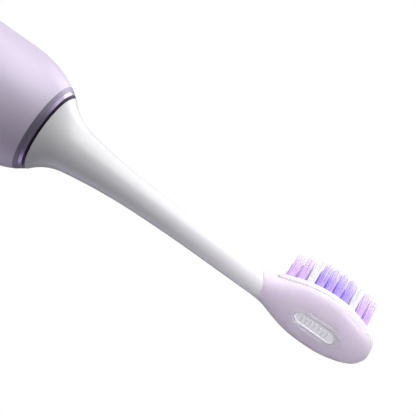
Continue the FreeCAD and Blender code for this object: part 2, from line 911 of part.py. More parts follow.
def neck():
    """White trumpet-shaped neck, hollow at its foot, cut off on a slant where the paddle shell starts."""
    corners = [
        (cavity_radius("neck_base_z"), "neck_base_z"),
        ("neck_base_radius - neck_edge", "neck_base_z"),
        ("neck_base_radius", "neck_base_z + neck_edge", "flare_arc_radius", -1),
        ("flare_top_radius", "flare_top_z", "taper_arc_radius", -1),
        ("taper_top_radius", "taper_top_z", "slim_arc_radius", -1),
        ("stem_radius", "stem_z"),
        ("stem_radius", "joint_z + joint_overlap"),
        ("0", "joint_z + joint_overlap"),
        ("0", "neck_bore_top_z"),
        ("neck_bore_radius", "neck_bore_top_z"),
        ("neck_bore_radius", "neck_bore_z"),
        (cavity_radius("flare_top_z"), "flare_top_z", "flare_arc_radius + neck_wall", 1),
    ]
    blank = turned("neck_turning", corners)
    return subpart(cut("neck_cut", blank, joint_wedge("above_joint", True)), "neck")


def cavity_radius(height):
    """Radius of the hollow foot at a height, one wall inside the flare."""
    chord = "sqrt((neck_base_radius - flare_top_radius)^2 + (flare_top_z - neck_base_z - neck_edge)^2)"
    rise = "(flare_top_z - neck_base_z - neck_edge)"
    run = "(neck_base_radius - flare_top_radius)"
    reach = f"sqrt(flare_arc_radius^2 - ({chord} / 2)^2)"
    centre_across = f"((neck_base_radius + flare_top_radius) / 2 + {reach} * {rise} / {chord})"
    centre_up = f"((neck_base_z + neck_edge + flare_top_z) / 2 + {reach} * {run} / {chord})"
    return f"{centre_across} - sqrt((flare_arc_radius + neck_wall)^2 - ({height} - {centre_up})^2)"


def neck_fittings():
    """Carrier, shaft sleeve and spring clip inside the neck's foot."""
    carrier = turned(
        "carrier_turning",
        [
            ("neck_bore_radius + fit_gap", "insert_bottom_z"),
            ("insert_flange_radius", "insert_bottom_z"),
            ("insert_flange_radius", "insert_bottom_z + insert_flange_height"),
            ("insert_radius", "insert_bottom_z + insert_flange_height"),
            ("insert_radius", "insert_bottom_z + insert_height"),
            ("neck_bore_radius + fit_gap", "insert_bottom_z + insert_height"),
        ],
    )
    subpart(carrier, "neck_insert")

    bore = "shaft_radius + sleeve_gap"
    entry = cylinder("sleeve_entry", bore, "sleeve_bottom_z - overrun",
                     "shaft_flat_z + sleeve_entry_rise + overrun - sleeve_bottom_z")
    keyed = cut(
        "sleeve_keyed",
        cylinder("sleeve_long_bore", bore, "sleeve_bottom_z", FAR),
        box("sleeve_key", FAR, "shaft_flat_y - turn_gap", FAR, "sleeve_bottom_z - overrun", f"2 * {FAR}"),
    )
    blank = cylinder("sleeve_blank", "sleeve_radius", "sleeve_bottom_z", "sleeve_top_z - sleeve_bottom_z")
    subpart(cut("sleeve_cut", blank, fused("sleeve_bore", entry, keyed)), "shaft_sleeve")

    ring = tube("clip_ring", "shaft_radius + clip_gap", "sleeve_radius - slide_gap",
                "insert_bottom_z + clip_rise", "clip_height")
    opening = box("clip_opening", "clip_half_opening", "0", FAR, "insert_bottom_z - overrun",
                  "clip_height + 3 * overrun")
    subpart(cut("clip_cut", ring, opening), "shaft_clip")


# ---------------------------------------------------------------- brush head paddle

FLARE_RUN = (
    "sqrt((paddle_flare_radius + lower_flank_radius)^2"
    " - (stem_radius + paddle_flare_radius + lower_flank_radius - paddle_half_width)^2)"
)
FLANK_SHARE = "lower_flank_radius / (paddle_flare_radius + lower_flank_radius)"
TIP_RUN = "sqrt((upper_flank_radius - tip_radius)^2 - (upper_flank_radius - paddle_half_width)^2)"
TIP_SHARE = "upper_flank_radius / (upper_flank_radius - tip_radius)"
FLARE_START = f"(paddle_wide_z - {FLARE_RUN})"
FLANK_MEETS = f"(paddle_wide_z - {FLARE_RUN} * {FLANK_SHARE})"
TIP_MEETS = f"(paddle_wide_z + {TIP_RUN} * {TIP_SHARE})"
TIP_TOP = f"(paddle_wide_z + {TIP_RUN} + tip_radius)"
DOME_REACHES = (0.35, 0.62, 0.8, 0.9, 0.96, 0.985, 0.996)
PEDESTAL_STEPS = 3


def half_width(height):
    """Half width of the paddle at a height: stem, flare, two flanks and tip, all tangent arcs."""
    level = value(height)
    above = f"({height} - paddle_wide_z)"
    if level <= value(FLARE_START):
        return "stem_radius"
    if level <= value(FLANK_MEETS):
        return (
            "stem_radius + paddle_flare_radius"
            f" - sqrt(paddle_flare_radius^2 - ({above} + {FLARE_RUN})^2)"
        )
    if level <= value("paddle_wide_z"):
        return f"paddle_half_width - lower_flank_radius + sqrt(lower_flank_radius^2 - {above}^2)"
    if level <= value(TIP_MEETS):
        return f"paddle_half_width - upper_flank_radius + sqrt(upper_flank_radius^2 - {above}^2)"
    return f"sqrt(tip_radius^2 - ({above} - {TIP_RUN})^2)"


def flare_share(height):
    """How far a height is along the flare, from 0 at its foot to 1 where the paddle is widest."""
    level = value(height)
    if level <= value(FLARE_START):
        return "0"
    if level >= value("paddle_wide_z"):
        return "1"
    return f"({height} - {FLARE_START}) / {FLARE_RUN}"


def half_depth(height):
    """Half depth of the paddle's elliptical section at a height."""
    if value(height) <= value("dome_fall_z"):
        return f"stem_radius - (stem_radius - paddle_depth) * {flare_share(height)}"
    fall = f"({height} - dome_fall_z) / ({TIP_TOP} + dome_overrun - dome_fall_z)"
    return f"paddle_depth * sqrt(1 - ({fall})^2)"


def paddle_blank():
    """Loft of ellipses from the round stem to the rounded tip, drifting towards the bristle side."""
    heights = ["joint_z - stem_overlap_low", "joint_z - stem_overlap_high"]
    heights += [f"{FLARE_START} + {FLARE_RUN} * {step} / 6" for step in range(7)]
    heights += ["(paddle_wide_z + dome_fall_z) / 2", "dome_fall_z"]
    heights += [f"dome_fall_z + ({TIP_TOP} - dome_fall_z) * {reach}" for reach in DOME_REACHES]
    sections = []
    for index, height in enumerate(heights):
        section = doc.addObject("Part::Ellipse", f"paddle_section_{index}")
        shift = f"paddle_shift_y * {flare_share(height)}"
        bind(section, MajorRadius=half_width(height), MinorRadius=half_depth(height), y=shift, z=height)
        sections.append(section)
    loft = doc.addObject("Part::Loft", "paddle_loft")
    loft.Sections = sections
    loft.Solid = True
    return loft


def badge():
    """Stepped pedestal moulded into the paddle shell, and the badge on top of it."""
    steps = []
    rise = f"(badge_face_y - badge_thickness - pedestal_base_y) / {PEDESTAL_STEPS}"
    for index in range(PEDESTAL_STEPS):
        wider = f"2 * pedestal_step * {PEDESTAL_STEPS - index}"
        steps.append(
            stadium(
                f"pedestal_{index}",
                f"badge_width + {wider}",
                f"badge_length + {wider}",
                f"pedestal_base_y + {rise} * {index + 1}",
                f"{rise} * {index + 1}",
                "badge_z",
            )
        )
    pedestal = fused("pedestal_fuse", *steps)
    plate = stadium("badge_slab", "badge_width", "badge_length", "badge_face_y", "badge_thickness",
                    "badge_z")
    return subpart(pedestal, "badge_pedestal"), subpart(plate, "badge_plate")


def head_shell(pedestal, holes):
    """Translucent shell of the paddle: round stem below, domed back above, a seat for the plate."""
    seat = box("plate_seat", FAR, "plate_seat_y", FAR, "plate_start_z", FAR)
    window = stadium("badge_window", "badge_width", "badge_length", FAR,
                     f"{FAR} - (badge_face_y - badge_thickness)", "badge_z")
    below = joint_wedge("below_joint", False)
    return subpart(cut("shell_cut", paddle_blank(), below, seat, pedestal, window, holes), "head_shell")


def tuft_places():
    """Row number, x and z of every tuft, as expressions."""
    for row_number, count in enumerate(ROW_COUNTS):
        height = f"row_first_z + {row_number} * row_pitch"
        for place in range(count):
            across = 2 * place / (count - 1) - 1
            yield row_number, f"({half_width(height)} - tuft_inset) * {across:.4f}", height


def tuft_holes():
    """Blind holes that pass through the plate into the shell, one for each tuft."""
    radius = "tuft_radius + hole_clearance"
    length = "hole_bottom_y - plate_front_y + overrun"
    holes = [
        rod(f"tuft_hole_{index}", radius, "hole_bottom_y", length, x, z)
        for index, (_, x, z) in enumerate(tuft_places())
    ]
    return grouped("tuft_holes", *holes)


def tuft_plate(holes):
    """Front plate of the paddle with a rounded rim, pierced by the tuft holes."""
    start_width = half_width("plate_start_z")
    flank_width = half_width(FLANK_MEETS)
    tip_width = half_width(TIP_MEETS)
    corners = [
        (f"-({start_width})", "plate_start_z"),
        (start_width, "plate_start_z", "paddle_flare_radius", -1),
        (flank_width, FLANK_MEETS, "lower_flank_radius", 1),
        ("paddle_half_width", "paddle_wide_z", "upper_flank_radius", 1),
        (tip_width, TIP_MEETS, "tip_radius", 1),
        (f"-({tip_width})", TIP_MEETS, "upper_flank_radius", 1),
        ("-paddle_half_width", "paddle_wide_z", "lower_flank_radius", 1),
        (f"-({flank_width})", FLANK_MEETS, "paddle_flare_radius", -1),
    ]
    back = "plate_seat_y - fit_gap"
    body = padded("plate_body", "XZ_Plane", corners, f"{back} - plate_front_y", start=f"-({back})")
    doc.recompute()
    pad = body.Tip
    front = value("plate_front_y")
    rim = [
        f"Edge{number}"
        for number, edge in enumerate(pad.Shape.Edges, start=1)
        if all(abs(vertex.Y - front) < 1e-4 for vertex in edge.Vertexes)
    ]
    fillet = body.newObject("PartDesign::Fillet", "plate_rim")
    fillet.Base = (pad, rim)
    bind(fillet, Radius="plate_edge_round")
    return subpart(cut("plate_cut", body, holes), "tuft_plate")


def tufts():
    """Tufts in four coloured bands, each over a flat anchor at the bottom of its hole."""
    anchor_back = "hole_bottom_y - hole_clearance"
    foot = f"{anchor_back} - anchor_height - hole_clearance"
    bands = {label: [] for label in TUFT_BANDS}
    anchors = []
    middle_row = (len(ROW_COUNTS) - 1) / 2
    for index, (row_number, x, z) in enumerate(tuft_places()):
        label = next(name for name, rows in TUFT_BANDS.items() if row_number in rows)
        rise = ((row_number - middle_row) / middle_row) ** 2
        length = f"{foot} - tuft_tip_y + tuft_tip_rise * {rise:.4f}"
        bands[label].append(rod(f"tuft_{index}", "tuft_radius", foot, length, x, z))
        anchors.append(
            box(
                f"anchor_{index}",
                "anchor_half_width",
                anchor_back,
                "anchor_height",
                f"{z} - anchor_half_thickness",
                "2 * anchor_half_thickness",
                x=x,
            )
        )
    for label, pieces in bands.items():
        subpart(grouped(f"{label}_set", *pieces), label)
    subpart(grouped("anchor_set", *anchors), "tuft_anchors")


# ---------------------------------------------------------------- build and export


def build():
    """Make every sub-part."""
    handle_shell()
    base_cap()
    base_seal()
    collar_rings()
    top_cap()
    shaft_seal()
    charging_coil()
    inner_frame()
    board_screws()
    circuit_board()
    board_parts()
    light_guide()
    battery()
    power_button()
    switch_parts()
    motor_housing()
    stator()
    rotor()
    drive_shaft()
    neck()
    neck_fittings()
    pedestal, _ = badge()
    holes = tuft_holes()
    head_shell(pedestal, holes)
    tuft_plate(holes)
    tufts()


def check():
    """Stop if any object failed or any sub-part has no valid solid."""
    for item in doc.Objects:
        if "Invalid" in item.State or "Error" in item.State:
            raise RuntimeError(f"{item.Label} did not compute: {item.State}")
    for piece in subparts:
        shape = piece.Shape
        if shape.isNull() or not shape.isValid() or not shape.Solids:
            raise RuntimeError(f"{piece.Label} has no valid solid")


def export():
    """Write one STEP file per sub-part."""
    os.makedirs("parts", exist_ok=True)
    for piece in subparts:
        piece.Shape.exportStep(f"parts/{piece.Label}.step")


build()
doc.recompute()
check()
export()
for piece in subparts:
    bounds = piece.Shape.BoundBox
    print(f"{piece.Label:18s} solids {len(piece.Shape.Solids):2d}  volume {piece.Shape.Volume:9.1f}"
          f"  z {bounds.ZMin:7.2f} to {bounds.ZMax:7.2f}")
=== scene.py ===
"""Looks of the electric toothbrush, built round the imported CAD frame.

Metres, +Z up the handle, bristles and power button towards -Y.
"""
import json
import math
import random

import bmesh
import bpy
from mathutils import Matrix, Vector
from mathutils.bvhtree import BVHTree


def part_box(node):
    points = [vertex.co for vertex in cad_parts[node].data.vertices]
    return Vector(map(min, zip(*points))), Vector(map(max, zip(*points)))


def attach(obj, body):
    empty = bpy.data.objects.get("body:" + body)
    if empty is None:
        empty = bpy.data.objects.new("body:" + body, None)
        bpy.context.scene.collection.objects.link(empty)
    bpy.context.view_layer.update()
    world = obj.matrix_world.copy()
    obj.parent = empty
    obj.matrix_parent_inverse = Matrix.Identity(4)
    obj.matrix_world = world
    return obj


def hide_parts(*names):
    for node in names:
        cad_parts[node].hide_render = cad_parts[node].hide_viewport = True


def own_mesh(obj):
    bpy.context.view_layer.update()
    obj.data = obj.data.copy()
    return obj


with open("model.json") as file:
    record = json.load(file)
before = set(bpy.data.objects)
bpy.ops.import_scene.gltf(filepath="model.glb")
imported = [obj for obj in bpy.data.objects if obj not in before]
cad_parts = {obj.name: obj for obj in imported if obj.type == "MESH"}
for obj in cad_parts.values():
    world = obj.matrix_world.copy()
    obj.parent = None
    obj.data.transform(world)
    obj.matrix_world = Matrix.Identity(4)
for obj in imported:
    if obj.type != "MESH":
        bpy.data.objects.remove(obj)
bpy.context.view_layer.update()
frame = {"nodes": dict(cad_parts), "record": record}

MM = 0.001
SEED = 7
rng = random.Random(SEED)
nodes = frame["nodes"]
node_slots = {entry["node"]: entry["material_slot"] for entry in frame["record"]["subparts"]}


# ---------------------------------------------------------------- places read from the frame

COLLAR_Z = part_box("collar_ring")[0].z
PLATE_LOW, PLATE_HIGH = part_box("tuft_plate")
PLATE_Z = (PLATE_LOW.z + PLATE_HIGH.z) / 2
TIP_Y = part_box("bristles_toe")[0].y
BADGE_LOW, BADGE_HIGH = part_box("badge_plate")
BADGE_CENTRE = (BADGE_LOW + BADGE_HIGH) / 2
BADGE_HALF_WIDTH = (BADGE_HIGH.x - BADGE_LOW.x) / 2
BADGE_HALF_LENGTH = (BADGE_HIGH.z - BADGE_LOW.z) / 2


# ---------------------------------------------------------------- node helpers


def new_material(name):
    """A node material, its node tree and its principled shader."""
    material = bpy.data.materials.new(name)
    material.use_nodes = True
    tree = material.node_tree
    return material, tree, tree.nodes["Principled BSDF"]


def set_inputs(node, **values):
    """Set a node's input sockets by name, with underscores for spaces."""
    for key, entry in values.items():
        node.inputs[key.replace("_", " ")].default_value = entry


def add(tree, kind, **values):
    """A new node, with its properties and input sockets set by name."""
    node = tree.nodes.new(kind)
    for key, entry in values.items():
        if hasattr(node, key):
            setattr(node, key, entry)
        else:
            set_inputs(node, **{key: entry})
    return node


def object_space(tree, scale=(1, 1, 1)):
    """Object coordinates, which are metres, times a scale along each axis."""
    coordinates = add(tree, "ShaderNodeTexCoord")
    mapping = add(tree, "ShaderNodeMapping", Scale=scale)
    tree.links.new(coordinates.outputs["Object"], mapping.inputs["Vector"])
    return mapping.outputs["Vector"]


def noise(tree, vector, scale, detail=3.0, roughness=0.5):
    """A noise texture's factor."""
    node = add(tree, "ShaderNodeTexNoise", Scale=scale, Detail=detail, Roughness=roughness)
    tree.links.new(vector, node.inputs["Vector"])
    return node.outputs["Fac"]


def cells(tree, vector, scale, feature="F1"):
    """A cell texture's distance from the middles of its cells, or from another feature."""
    node = add(tree, "ShaderNodeTexVoronoi", feature=feature, Scale=scale)
    tree.links.new(vector, node.inputs["Vector"])
    return node.outputs["Distance"]


def ramp(tree, factor, stops):
    """Colours along a factor; stops are (position, colour)."""
    node = add(tree, "ShaderNodeValToRGB")
    elements = node.color_ramp.elements
    while len(elements) < len(stops):
        elements.new(0.5)
    for element, (position, colour) in zip(elements, stops):
        element.position = position
        element.color = (*colour, 1)
    tree.links.new(factor, node.inputs["Fac"])
    return node.outputs["Color"]


def span(tree, factor, low, high):
    """A factor from 0 to 1 spread between two numbers."""
    node = add(tree, "ShaderNodeMapRange", To_Min=low, To_Max=high)
    tree.links.new(factor, node.inputs["Value"])
    return node.outputs["Result"]


def shades(colour, spread):
    """A darker and a lighter version of a colour."""
    dark = tuple(max(0.0, channel * (1 - spread)) for channel in colour)
    light = tuple(min(1.0, channel * (1 + spread)) for channel in colour)
    return dark, light


def paint(tree, shader, colour):
    """Let a node's colour be the shader's base colour."""
    tree.links.new(colour, shader.inputs["Base Color"])


def vary_gloss(tree, shader, factor, low, high):
    """Let a factor spread the shader's roughness between two numbers."""
    tree.links.new(span(tree, factor, low, high), shader.inputs["Roughness"])


def bump(tree, shader, height, strength, distance):
    """Surface relief from a height factor; distance is its depth in millimetres."""
    node = add(tree, "ShaderNodeBump", Strength=strength, Distance=distance * MM)
    tree.links.new(height, node.inputs["Height"])
    tree.links.new(node.outputs["Normal"], shader.inputs["Normal"])


def scatter(weight, radius):
    """Socket values for light that scatters under the surface, to a radius in millimetres."""
    return {
        "Subsurface_Weight": weight,
        "Subsurface_Radius": tuple(channel * MM for channel in radius),
        "Subsurface_Scale": 1.0,
    }


# ---------------------------------------------------------------- kinds of material

WAVE_TURN = 20  # radians that a wave texture turns through in one unit of its scaled coordinate


def moulded(name, colour, spread, rough, grain=3000.0, relief=0.004, **sockets):
    """Moulded or coated plastic: slow colour drift, uneven gloss and a grain; relief is in millimetres."""
    material, tree, shader = new_material(name)
    space = object_space(tree)
    dark, light = shades(colour, spread)
    drift = noise(tree, space, scale=90.0)
    grit = noise(tree, space, scale=grain, detail=2.0)
    paint(tree, shader, ramp(tree, drift, [(0.3, dark), (0.7, light)]))
    vary_gloss(tree, shader, grit, *rough)
    bump(tree, shader, grit, strength=0.3, distance=relief)
    set_inputs(shader, **sockets)
    return material


def metal(name, colour, rough, scale=(1, 1, 1)):
    """Metal with fine grain, which a scale along one axis turns into lines, and uneven gloss."""
    material, tree, shader = new_material(name)
    space = object_space(tree, scale)
    dark, light = shades(colour, spread=0.10)
    lines = noise(tree, space, scale=1500.0, detail=4.0, roughness=0.65)
    paint(tree, shader, ramp(tree, lines, [(0.35, dark), (0.65, light)]))
    vary_gloss(tree, shader, lines, *rough)
    bump(tree, shader, lines, strength=0.25, distance=0.004)
    set_inputs(shader, Metallic=1.0)
    return material


def banded(name, colour, pitch, metallic=1.0, rough=(0.3, 0.45), contrast=0.35):
    """Ridges one after another along Z at a pitch in millimetres, such as turns of wire."""
    material, tree, shader = new_material(name)
    space = object_space(tree)
    dark, light = shades(colour, contrast)
    wave = add(tree, "ShaderNodeTexWave", bands_direction="Z", Distortion=0.15, Detail=1.0)
    set_inputs(wave, Scale=math.tau / (WAVE_TURN * pitch * MM))
    tree.links.new(space, wave.inputs["Vector"])
    ridges = wave.outputs["Fac"]
    paint(tree, shader, ramp(tree, ridges, [(0.1, dark), (0.8, light)]))
    vary_gloss(tree, shader, noise(tree, space, scale=900.0), *rough)
    bump(tree, shader, ridges, strength=0.8, distance=0.05)
    set_inputs(shader, Metallic=metallic)
    return material


def laminate(name, mask, edge, track):
    """Solder mask over tracks, which show through it as lighter lines between cells."""
    material, tree, shader = new_material(name)
    space = object_space(tree, scale=(1, 1, 0.35))
    tracks = cells(tree, space, scale=420.0, feature="DISTANCE_TO_EDGE")
    paint(tree, shader, ramp(tree, tracks, [(0.02, track), (0.05, edge), (1.0, mask)]))
    vary_gloss(tree, shader, noise(tree, space, scale=1500.0), low=0.25, high=0.4)
    bump(tree, shader, tracks, strength=0.3, distance=0.03)
    return material


def pearl(name, colour, tint):
    """Pearl lacquer: a tinted base with fine mica flakes under a thin clear coat."""
    material, tree, shader = new_material(name)
    space = object_space(tree)
    dark, light = shades(colour, spread=0.035)
    flakes = cells(tree, space, scale=5200.0)
    drift = noise(tree, space, scale=35.0)
    mix = add(tree, "ShaderNodeMix", data_type="RGBA", B=(*tint, 1))
    tree.links.new(span(tree, flakes, low=0.0, high=0.22), mix.inputs["Factor"])
    tree.links.new(ramp(tree, drift, [(0.3, dark), (0.7, light)]), mix.inputs["A"])
    paint(tree, shader, mix.outputs["Result"])
    vary_gloss(tree, shader, flakes, low=0.42, high=0.54)
    bump(tree, shader, noise(tree, space, scale=2600.0), strength=0.12, distance=0.004)
    set_inputs(shader, Metallic=0.12, Coat_Weight=0.12, Coat_Roughness=0.30)
    set_inputs(shader, Sheen_Weight=0.2, Sheen_Tint=(0.95, 0.86, 1.0, 1))
    return material


def filament(name, base, tip):
    """Nylon that is deeper in colour at its foot and paler towards its tips along -Y, with a faint painted
    glow that stands in for light carried along the filaments.
    """
    material, tree, shader = new_material(name)
    split = add(tree, "ShaderNodeSeparateXYZ")
    tree.links.new(object_space(tree), split.inputs["Vector"])
    height = add(tree, "ShaderNodeMapRange", From_Min=PLATE_LOW.y, From_Max=TIP_Y)
    tree.links.new(split.outputs["Y"], height.inputs["Value"])
    middle = tuple((a + 2 * b) / 3 for a, b in zip(base, tip))
    fade = ramp(tree, height.outputs["Result"], [(0.0, base), (0.35, base), (0.8, middle), (1.0, tip)])
    fine = object_space(tree, scale=(1, 0.05, 1))
    greys = [(0.3, (0.86, 0.86, 0.88)), (0.7, (1.0, 1.0, 1.0))]
    streaks = add(tree, "ShaderNodeMix", data_type="RGBA", blend_type="MULTIPLY", Factor=1.0)
    tree.links.new(fade, streaks.inputs["A"])
    tree.links.new(ramp(tree, noise(tree, fine, scale=4200.0), greys), streaks.inputs["B"])
    paint(tree, shader, streaks.outputs["Result"])
    vary_gloss(tree, shader, noise(tree, fine, scale=2500.0), low=0.3, high=0.5)
    set_inputs(shader, **scatter(0.5, (0.20, 0.17, 0.22)))
    # Painted glow: a faint emission in the middle colour, which stands in for light carried along the
    # nylon
    set_inputs(shader, Emission_Color=(*middle, 1), Emission_Strength=0.1)
    return material


# ---------------------------------------------------------------- materials by slot

# Each slot of the record: its kind of material and that kind's values.
FINISHES = {
    "pearl_lilac": (pearl, dict(colour=(0.67, 0.59, 0.745), tint=(0.85, 0.79, 0.92))),
    "button_lilac": (pearl, dict(colour=(0.68, 0.61, 0.75), tint=(0.86, 0.81, 0.91))),
    "satin_metal": (metal, dict(colour=(0.34, 0.31, 0.40), rough=(0.48, 0.6), scale=(1, 1, 14))),
    "violet_metal": (metal, dict(colour=(0.45, 0.37, 0.54), rough=(0.26, 0.36), scale=(1, 1, 14))),
    "dark_plastic": (moulded, dict(colour=(0.022, 0.018, 0.028), spread=0.2, rough=(0.4, 0.6))),
    "black_rubber": (moulded, dict(
        colour=(0.02, 0.02, 0.024), spread=0.2, rough=(0.6, 0.8), grain=1800.0, relief=0.02,
    )),
    "grey_silicone": (moulded, dict(
        colour=(0.35, 0.33, 0.38), spread=0.06, rough=(0.45, 0.6), grain=1800.0,
    )),
    "copper_wire": (banded, dict(colour=(0.62, 0.27, 0.12), pitch=0.22)),
    "ferrite": (moulded, dict(
        colour=(0.05, 0.05, 0.055), spread=0.25, rough=(0.7, 0.9), grain=2200.0, relief=0.03,
    )),
    "frame_plastic": (moulded, dict(
        colour=(0.62, 0.62, 0.64), spread=0.05, rough=(0.4, 0.55), grain=1600.0, relief=0.02,
    )),
    "screw_steel": (metal, dict(colour=(0.55, 0.55, 0.57), rough=(0.3, 0.45))),
    "board_laminate": (laminate, dict(
        mask=(0.02, 0.13, 0.05), edge=(0.02, 0.16, 0.06), track=(0.10, 0.34, 0.12),
    )),
    "tan_ceramic": (moulded, dict(
        colour=(0.42, 0.30, 0.18), spread=0.15, rough=(0.5, 0.7), grain=2500.0, relief=0.02,
    )),
    "light_package": (moulded, dict(colour=(0.85, 0.80, 0.50), spread=0.06, rough=(0.15, 0.25))),
    "clear_plastic": (moulded, dict(
        colour=(0.88, 0.90, 0.95), spread=0.02, rough=(0.05, 0.12), Transmission_Weight=0.8, IOR=1.49,
    )),
    "cell_wrap": (banded, dict(
        colour=(0.06, 0.20, 0.42), pitch=38, metallic=0.0, rough=(0.2, 0.3), contrast=0.12,
    )),
    "nickel": (metal, dict(colour=(0.62, 0.59, 0.52), rough=(0.2, 0.35), scale=(0.2, 1, 1))),
    "zinc_steel": (metal, dict(colour=(0.50, 0.51, 0.54), rough=(0.3, 0.45), scale=(1, 1, 6))),
    "bronze": (metal, dict(colour=(0.52, 0.34, 0.16), rough=(0.4, 0.55))),
    "lamination_steel": (banded, dict(colour=(0.30, 0.30, 0.32), pitch=0.5)),
    "magnet_nickel": (metal, dict(colour=(0.66, 0.66, 0.67), rough=(0.1, 0.2))),
    "shaft_steel": (metal, dict(colour=(0.60, 0.60, 0.63), rough=(0.16, 0.28), scale=(1, 1, 10))),
    "white_plastic": (moulded, dict(
        colour=(0.835, 0.835, 0.85), spread=0.012, rough=(0.26, 0.34),
        Coat_Weight=0.15, Coat_Roughness=0.2, **scatter(0.12, (1.2, 1.1, 1.2)),
    )),
    "lilac_translucent": (moulded, dict(
        colour=(0.82, 0.74, 0.86), spread=0.015, rough=(0.34, 0.42), grain=1200.0,
        Transmission_Weight=0.12, IOR=1.4, **scatter(1.0, (1.2, 1.0, 1.3)),
    )),
    "frosted_plate": (moulded, dict(
        colour=(0.86, 0.78, 0.90), spread=0.015, rough=(0.4, 0.5), grain=1200.0,
        Transmission_Weight=0.12, IOR=1.4, **scatter(1.0, (0.5, 0.45, 0.55)),
    )),
    "badge_grey": (moulded, dict(
        colour=(0.92, 0.92, 0.94), spread=0.02, rough=(0.3, 0.4), grain=1600.0,
    )),
    "bristle_pink": (filament, dict(base=(0.64, 0.44, 0.85), tip=(0.92, 0.86, 0.95))),
    "bristle_white": (filament, dict(base=(0.80, 0.78, 0.86), tip=(0.88, 0.87, 0.91))),
    "bristle_violet": (filament, dict(base=(0.44, 0.31, 0.90), tip=(0.84, 0.80, 0.97))),
}

materials = {slot: kind(slot, **values) for slot, (kind, values) in FINISHES.items()}
for node_name, node in nodes.items():
    node.data.materials.clear()
    node.data.materials.append(materials[node_slots[node_name]])


# ---------------------------------------------------------------- pieces


def link(name, data):
    """A new object in the scene."""
    thing = bpy.data.objects.new(name, data)
    bpy.context.scene.collection.objects.link(thing)
    return thing


def piece_from(name, vertices, faces, slot, smooth=True, material=None):
    """A mesh piece in its slot's material, or in another that is given."""
    mesh = bpy.data.meshes.new(name)
    mesh.from_pydata(vertices, [], faces)
    mesh.polygons.foreach_set("use_smooth", [smooth] * len(mesh.polygons))
    mesh.materials.append(material or materials[slot])
    mesh.update()
    piece = link(name, mesh)
    return piece


def ring_quads(low, high, count):
    """Quads between two rings of vertices, each given by the number of its first vertex."""
    for step in range(count):
        beside = (step + 1) % count
        yield low + step, low + beside, high + beside, high + step


# ---------------------------------------------------------------- bristles

FILAMENT_RADIUS = 0.09 * MM
FILAMENT_PITCH = 0.19 * MM
FILAMENT_SIDES = 5
FILAMENT_STRAY = 0.07 * MM
TIP_SPREAD = 0.14 * MM
# Shares by which a tuft is wider at its tips, across the paddle and along it, and the power of the
# share of its length that spreads this
SPLAY_ACROSS = 0.14
SPLAY_ALONG = 0.3
SPLAY_POWER = 1.3
# Rings of one filament: (share of its length, share of its radius)
RINGS = ((0.0, 1.0), (0.3, 1.0), (0.55, 1.0), (0.78, 1.0), (0.96, 1.0), (1.0, 0.62))
WELD_DISTANCE = 0.001 * MM


def tufts_of(node_name):
    """Middle, radius, root and tip of each tuft in a CAD bristle node."""
    copy = bmesh.new()
    copy.from_mesh(nodes[node_name].data)
    bmesh.ops.remove_doubles(copy, verts=copy.verts, dist=WELD_DISTANCE)
    waiting = set(copy.verts)
    found = []
    while waiting:
        island = [waiting.pop()]
        for vertex in island:
            for edge in vertex.link_edges:
                other = edge.other_vert(vertex)
                if other in waiting:
                    waiting.discard(other)
                    island.append(other)
        xs, ys, zs = zip(*(vertex.co for vertex in island))
        middle = ((min(xs) + max(xs)) / 2, (min(zs) + max(zs)) / 2)
        found.append((middle, (max(xs) - min(xs)) / 2, max(ys), min(ys)))
    copy.free()
    return sorted(found, key=lambda tuft: (tuft[0][1], tuft[0][0]))


def packed_circle(radius, pitch):
    """Points of a triangular grid that lie inside a circle."""
    count = int(radius / pitch) + 1
    step_up = pitch * math.sqrt(3) / 2
    for row in range(-count, count + 1):
        for column in range(-count - 1, count + 2):
            x = (column + 0.5 * (row % 2)) * pitch
            z = row * step_up
            if math.hypot(x, z) <= radius:
                yield x, z


def turned(x, z, angle):
    """A point turned about the origin."""
    return x * math.cos(angle) - z * math.sin(angle), x * math.sin(angle) + z * math.cos(angle)


def filament_rings(foot, middle, root, end, stray):
    """Points of one filament, ring by ring; its foot is measured from the tuft's middle."""
    for share, width in RINGS:
        lean = share ** SPLAY_POWER
        centre_x = middle[0] + foot[0] * (1 + SPLAY_ACROSS * lean) + stray[0] * lean
        centre_z = middle[1] + foot[1] * (1 + SPLAY_ALONG * lean) + stray[1] * lean
        y = root + (end - root) * share
        reach = FILAMENT_RADIUS * width
        for side in range(FILAMENT_SIDES):
            angle = math.tau * side / FILAMENT_SIDES
            yield centre_x + reach * math.cos(angle), y, centre_z + reach * math.sin(angle)


def grow_tuft(vertices, faces, tuft):
    """Add one tuft's filaments: packed at the root, spreading a little and uneven at the tips."""
    middle, radius, root, tip = tuft
    turn = rng.uniform(0, math.tau)
    for x, z in packed_circle(radius - FILAMENT_RADIUS, FILAMENT_PITCH):
        stray = (rng.gauss(0, FILAMENT_STRAY), rng.gauss(0, FILAMENT_STRAY))
        end = tip + abs(rng.gauss(0, TIP_SPREAD))
        first = len(vertices)
        vertices.extend(filament_rings(turned(x, z, turn), middle, root, end, stray))
        last = len(vertices) - FILAMENT_SIDES
        for low in range(first, last, FILAMENT_SIDES):
            faces.extend(ring_quads(low, low + FILAMENT_SIDES, FILAMENT_SIDES))
        faces.append(tuple(range(last, last + FILAMENT_SIDES)))
        faces.append(tuple(reversed(range(first, first + FILAMENT_SIDES))))


def make_bristles():
    """Separate filaments in place of each CAD bristle node's plain cylinders."""
    for node_name in ("bristles_heel", "bristles_white", "bristles_middle", "bristles_toe"):
        vertices = []
        faces = []
        for tuft in tufts_of(node_name):
            grow_tuft(vertices, faces, tuft)
        name = node_name.replace("bristles", "filaments")
        piece = piece_from(name, vertices, faces, node_slots[node_name])
        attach(piece, "brush_head")
        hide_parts(node_name)


make_bristles()


# ---------------------------------------------------------------- badge

